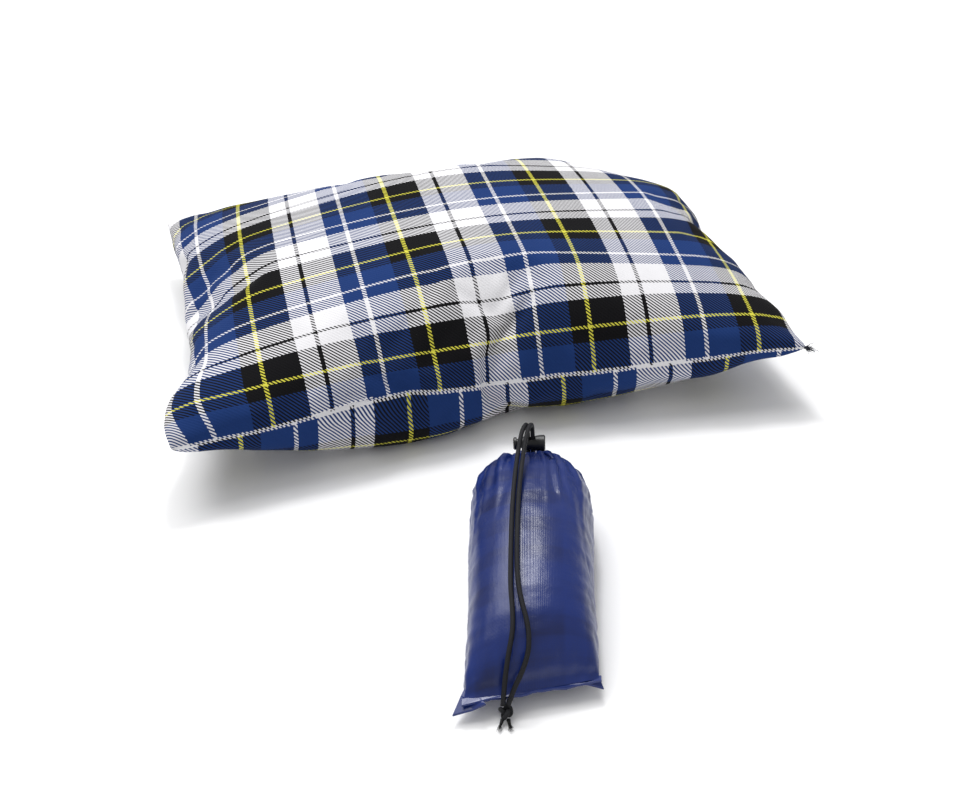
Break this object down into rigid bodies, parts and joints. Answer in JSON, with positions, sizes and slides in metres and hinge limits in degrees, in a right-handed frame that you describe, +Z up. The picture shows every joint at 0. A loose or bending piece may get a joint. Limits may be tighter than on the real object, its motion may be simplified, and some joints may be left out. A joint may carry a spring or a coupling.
{
  "type": "travel pillow with stuff sack",
  "caption": "Rectangular stuffed travel pillow in a plaid flannel cover, with a drawstring stuff sack closed by a braided cord and a sprung cord lock.",
  "frame": {"origin": "centre of the pillow's flat underside, where it rests", "axes": "+Z up, +X along the pillow's long side, +Y to its back edge; the stuff sack lies on the same surface in front of it, at -Y"},
  "size_m": [0.493, 0.6408, 0.1193],
  "materials": {
    "plaid_flannel": "brushed twill in a blue, black, white and yellow plaid",
    "fibre_fill": "loose polyester fibre",
    "thread": "sewing thread",
    "blue_nylon": "thin shiny coated nylon",
    "black_braid": "braided cord",
    "lock_plastic": "fine-grained moulded plastic",
    "plunger_plastic": "moulded plastic",
    "spring_steel": "drawn wire"
  },
  "bodies": {
    "pillow": {"cover_top_panel": "plaid_flannel", "cover_bottom_panel": "plaid_flannel", "fibre_fill": "fibre_fill", "seam_allowance": "plaid_flannel", "seam_thread": "thread", "closing_stitches": "thread"},
    "stuff_sack": {"sack_front_panel": "blue_nylon", "sack_back_panel": "blue_nylon", "side_seam_left": "blue_nylon", "side_seam_right": "blue_nylon", "packed_pillow": "fibre_fill", "bottom_seam": "blue_nylon", "neck_casing": "blue_nylon", "drawcord_ring": "black_braid", "drawcord_tail_left": "black_braid", "drawcord_tail_right": "black_braid", "end_knot": "black_braid", "cord_end_left": "black_braid", "cord_end_right": "black_braid"},
    "cord_lock": {"lock_barrel": "lock_plastic", "lock_spring": "spring_steel"},
    "lock_plunger": {"lock_plunger": "plunger_plastic"}
  },
  "joints": [
    {"name": "sack_lift", "type": "slide", "parent": "pillow", "child": "stuff_sack", "axis": [0, 0, 1], "range_m": [0, 0.25]},
    {"name": "lock_slide", "type": "slide", "parent": "stuff_sack", "child": "cord_lock", "axis": [0, 0, 1], "range_m": [-0.0015, 0.004]},
    {"name": "plunger_press", "type": "slide", "parent": "cord_lock", "child": "lock_plunger", "axis": [0.9703, -0.2419, 0], "range_m": [0, 0.0025], "stiffness_N_per_m": 900, "deforming": ["lock_spring"]}
  ]
}
